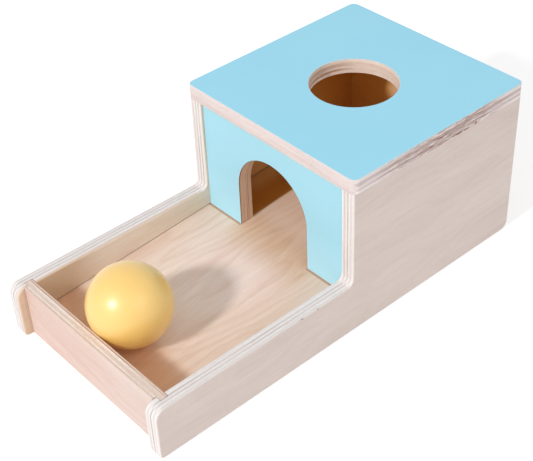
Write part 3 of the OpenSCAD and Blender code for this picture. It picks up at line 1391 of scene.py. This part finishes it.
@dataclass
class Roof(Piece):
    """Square roof with rounded corners, a ball hole and a painted top."""

    node: str = "roof"
    slot: str = "roof_plywood"
    corner_r: float = 4 * MM
    hole_d: float = 50 * MM
    seed: float = 83.0
    # Middle and half length, along X, of the part whose edges are stained
    stain_mm: tuple[float, float] = (66.0, 54.0)
    # Torn voids in the right edge
    voids: tuple[PlyVoid, ...] = (
        PlyVoid((55.5, -65.3, 93.6), (1.9, 0.3, 0.5), 4.0),
        PlyVoid((62.5, -65.3, 95.9), (2.8, 0.25, 0.5), 12.0),
        PlyVoid((74.0, -65.3, 92.0), (2.6, 0.25, 0.4)),
        PlyVoid((77.5, -65.3, 91.8), (2.6, 0.4, 0.6)),
        PlyVoid((83.0, -65.3, 91.8), (2.8, 0.25, 0.4)),
        PlyVoid((90.8, -65.3, 92.1), (0.7, 0.35, 1.1), 24.0),
    )

    def shape(self) -> bpy.types.Object:
        """Saws the square, drills the hole, sands all rims and tears out the voids.

        Returns:
            The roof.
        """
        thick = self.high.z - self.low.z
        around = ((self.low.x, self.low.y), (self.high.x, self.low.y),
                  (self.high.x, self.high.y), (self.low.x, self.high.y))
        outline = [Corner(across, up, self.corner_r) for across, up in around]
        plate = to_object(cut_plate(outline, thick), self.node)
        plate.data.materials.append(None)
        rout(plate, [self._drill(thick)])
        bm = bmesh.new()
        bm.from_mesh(plate.data)
        ease_rims(bm, thick, CRISP_R, lambda middle: True)
        bmesh.ops.translate(bm, vec=(0.0, 0.0, self.low.z), verts=bm.verts[:])
        bm.to_mesh(plate.data)
        bm.free()
        torn = BareWood().material()
        rout(plate, [v.cutter(f"void_{i}", torn) for i, v in enumerate(self.voids)])
        return plate

    def _drill(self, thick: float) -> bpy.types.Object:
        """Makes the cutter of the ball hole, in the middle of the box.

        Args:
            thick: Thickness of the roof, which still lies on the ground.

        Returns:
            The cutter's object, dressed in the wood that the hole shows.
        """
        bm = bmesh.new()
        middle = Matrix.Translation(((self.low.x + self.high.x) / 2, 0.0, thick / 2))
        bmesh.ops.create_cone(
            bm, cap_ends=True, segments=HOLE_STEPS, radius1=self.hole_d / 2,
            radius2=self.hole_d / 2, depth=thick + 2 * OVERRUN, matrix=middle)
        drill = to_object(bm, "ball_drill")
        drill.data.materials.append(self.birch("bored_birch", "FFF4E8", "B98A6E", HOLE_PLIES))
        return drill

    def birch(
        self, name: str, pale: str, dark: str, plies: Plies,
        stain_mm: tuple[float, float] | None = None,
    ) -> bpy.types.Material:
        """Makes the roof's plywood, painted light blue on top.

        Args:
            name: Name of the material.
            pale: Colour of its pale plies, as six hex digits.
            dark: Colour of its dark plies.
            plies: How dark each ply shows.
            stain_mm: Middle and half length of the part whose edges are stained.

        Returns:
            The material.
        """
        sheet = Sheet(
            Vector((1.0, 0.0, 0.0)), Vector((0.0, 0.0, 1.0)), self.low.z,
            self.high.z - self.low.z, plies)
        # The underside inside the box is painted warm shade
        return Plywood(
            name, sheet, OUTER_VENEER, CHAMBER_SHADED_VENEER, self.seed,
            paint=Paint("A2DEF3", "9EDCF2"), pale_ply=pale, dark_ply=dark,
            stain_mm=stain_mm).material()

    def finish(self) -> bpy.types.Material:
        """Paints the top light blue and leaves the rest bare birch."""
        return self.birch(f"{self.node}_birch", "FFF8F6", "BCA5A1", ROOF_PLIES, self.stain_mm)


@dataclass
class Ball(Piece):
    """Turned wooden ball, dipped in gloss lacquer."""

    node: str = "ball"
    slot: str = "ball_lacquer"
    body: str = "ball"
    fineness: int = 6
    # How far the surface strays from a sphere, and over what distance
    out_of_round: float = 0.03 * MM
    stray: float = 18 * MM

    def shape(self) -> bpy.types.Object:
        """Turns the ball, a hair out of round as lathe work is.

        Returns:
            The ball.
        """
        middle = (self.low + self.high) / 2
        radius = (self.high.z - self.low.z) / 2 - self.out_of_round
        bm = bmesh.new()
        bmesh.ops.create_icosphere(bm, subdivisions=self.fineness, radius=radius)
        for vert in bm.verts:
            swell = noise.noise(vert.co / self.stray) * self.out_of_round
            vert.co += vert.co.normalized() * swell
        bmesh.ops.translate(bm, vec=middle, verts=bm.verts[:])
        return to_object(bm, self.node)

    def finish(self) -> bpy.types.Material:
        """Dips the ball in yellow lacquer."""
        return Lacquer().material()


def seen_as_backdrop(nodes: Nodes) -> Socket:
    """Tells rays that show the backdrop from rays that light the toy.

    Args:
        nodes: Nodes of the backdrop.

    Returns:
        One where the camera, a gloss or glass looks, and zero for other rays.
    """
    seen = nodes.add("LightPath", out="Is Camera Ray")
    for kind in ("Glossy", "Transmission"):
        ray = nodes.add("LightPath", out=f"Is {kind} Ray")
        seen = nodes.add("Math", {0: seen, 1: ray}, operation="MAXIMUM")
    return seen


@dataclass(frozen=True)
class Lamp:
    """Round softbox that points at the toy."""

    name: str
    azimuth_deg: float
    elevation_deg: float
    distance: float
    size: float
    watts: float

    def hang(self) -> None:
        """Adds the lamp to the scene."""
        data = bpy.data.lights.new(self.name, "AREA")
        data.shape = "DISK"
        data.size = self.size
        data.energy = self.watts
        lamp = bpy.data.objects.new(self.name, data)
        turn = math.radians(self.azimuth_deg)
        lift = math.radians(self.elevation_deg)
        toward = Vector((
            math.cos(lift) * math.cos(turn), math.cos(lift) * math.sin(turn), math.sin(lift)))
        lamp.location = toward * self.distance
        lamp.rotation_euler = toward.to_track_quat("Z", "Y").to_euler()
        bpy.context.scene.collection.objects.link(lamp)


@dataclass(frozen=True)
class Studio:
    """White room with a key lamp past the open end of the tray and a weak wide fill."""

    eye_mm: tuple[float, float, float] = (-333.617, -393.152, 444.074)
    turn_deg: tuple[float, float, float] = (51.3861, 2.1491, -41.8115)
    focal_px: float = 1187.77
    frame_px: int = 533
    sensor_mm: float = 36.0
    nearest: float = 0.01
    lamps: tuple[Lamp, ...] = (
        Lamp("key", 181.8, 34.0, 2.4, 0.27, 28.6),
        Lamp("fill", 270.0, 40.0, 1.8, 1.2, 4.0),
    )
    # Strength of the world's light, where 1 is white
    sky: float = 0.6
    floor_size: float = 6.0
    # How far under the toy the floor lies, its colour, and what it glows where it is seen
    floor_gap: float = 0.1 * MM
    floor_colour: str = "F4F4F4"
    floor_glow: float = 0.38

    def camera(self) -> None:
        """Sets the camera where the photograph was taken from."""
        data = bpy.data.cameras.new("camera")
        data.sensor_width = self.sensor_mm
        data.lens = self.focal_px * self.sensor_mm / self.frame_px
        data.clip_start = self.nearest
        camera = bpy.data.objects.new("camera", data)
        camera.location = Vector(self.eye_mm) * MM
        camera.rotation_euler = [math.radians(a) for a in self.turn_deg]
        bpy.context.scene.collection.objects.link(camera)
        bpy.context.scene.camera = camera

    def backdrop(self) -> None:
        """Lights the toy evenly from a white world, and shows it white to the camera."""
        world = bpy.data.worlds.new("white_room")
        nodes = Nodes(fresh_tree(world))
        strength = nodes.add("Mix", {0: seen_as_backdrop(nodes), 2: self.sky, 3: 1.0})
        light = nodes.add("Background", {0: linear("FFFFFF"), 1: strength})
        nodes.add("OutputWorld", {0: light})
        bpy.context.scene.world = world

    def floor(self) -> None:
        """Lays the white floor, which keeps the toy's soft shadow."""
        bm = bmesh.new()
        bmesh.ops.create_grid(bm, x_segments=1, y_segments=1, size=self.floor_size / 2)
        bmesh.ops.translate(bm, vec=(0.0, 0.0, -self.floor_gap), verts=bm.verts[:])
        floor = to_object(bm, "floor")
        material = bpy.data.materials.new("white_floor")
        nodes = Nodes(fresh_tree(material))
        white = linear(self.floor_colour)
        matt = nodes.add("BsdfDiffuse", {0: white})
        seen = seen_as_backdrop(nodes)
        glow = nodes.add("Math", {0: seen, 1: self.floor_glow}, operation="MULTIPLY")
        light = nodes.add("Emission", {0: white, 1: glow})
        both = nodes.add("AddShader", {0: matt, 1: light})
        nodes.add("OutputMaterial", {0: both})
        floor.data.materials.append(material)

    def build(self) -> None:
        """Sets up the whole studio."""
        self.camera()
        for lamp in self.lamps:
            lamp.hang()
        self.backdrop()
        self.floor()
        bpy.context.scene.view_settings.view_transform = "Standard"


def main() -> None:
    """Builds the toy and its studio."""
    logging.basicConfig(level=logging.INFO, format="%(message)s")
    Studio().build()
    pieces = [
        SidePanel("left_side", side=Side.LEFT),
        SidePanel("right_side", side=Side.RIGHT, nicks=WALL_NICKS),
        Ramp(),
        CrossBoard("front_stop"),
        ArchPanel(),
        CrossBoard("back_panel", "side_plywood", seed=67.0, top_r=(0.0, 0.0), is_stop=False),
        Roof(),
        Ball(),
    ]
    for piece in pieces:
        piece.build()


if __name__ == "__main__":
    main()
